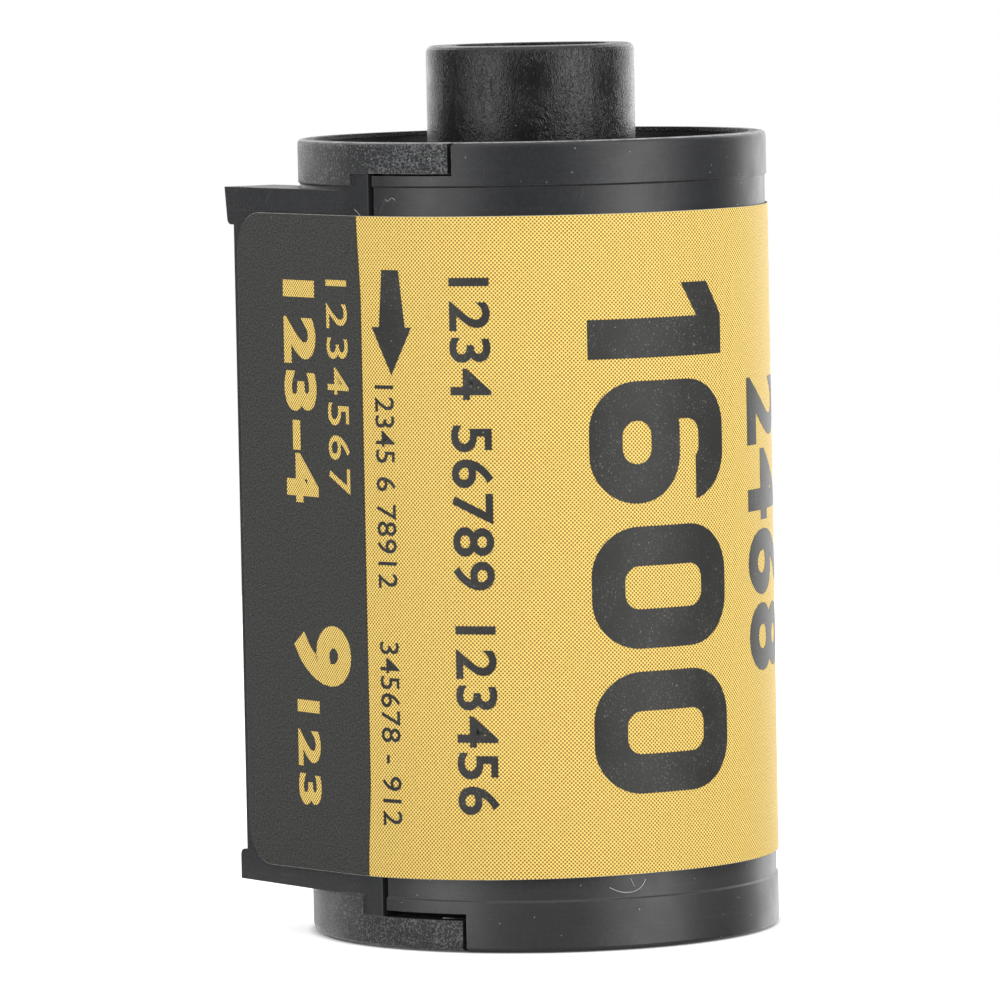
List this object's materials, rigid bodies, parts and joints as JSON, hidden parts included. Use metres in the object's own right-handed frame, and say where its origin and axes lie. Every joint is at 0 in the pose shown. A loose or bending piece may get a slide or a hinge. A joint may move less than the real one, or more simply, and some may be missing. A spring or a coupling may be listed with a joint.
{
  "type": "35mm film cartridge",
  "caption": "Moulded plastic film cartridge with a wrapped label, a velvet-lined film mouth and a spool that turns inside with its short roll of film.",
  "frame": {"origin": "on the spool axis in the plane of the lower rims", "axes": "+Z along the spool axis towards the long spool end, -X the way the film leaves, -Y towards the outer lip of the mouth"},
  "size_m": [0.0255, 0.0255, 0.048],
  "materials": {
    "black_shell": "satin",
    "black_spool": "satin",
    "film": "gloss",
    "tape": "gloss",
    "velvet": "matte",
    "yellow_paper": "satin",
    "dark_ink": "satin"
  },
  "bodies": {
    "cassette": {"gate_shell": "black_shell", "back_shell": "black_shell", "outer_light_trap": "velvet", "inner_light_trap": "velvet", "label": "yellow_paper", "label_dark_panel": "dark_ink", "label_figures": "dark_ink"},
    "reel": {"spool": "black_spool", "film_roll": "film", "film_anchor_tape": "tape"}
  },
  "joints": [
    {"name": "spool_turn", "type": "hinge", "parent": "cassette", "child": "reel", "pos_m": [0, 0, 0.02155], "axis": [0, 0, 1], "continuous": true}
  ]
}
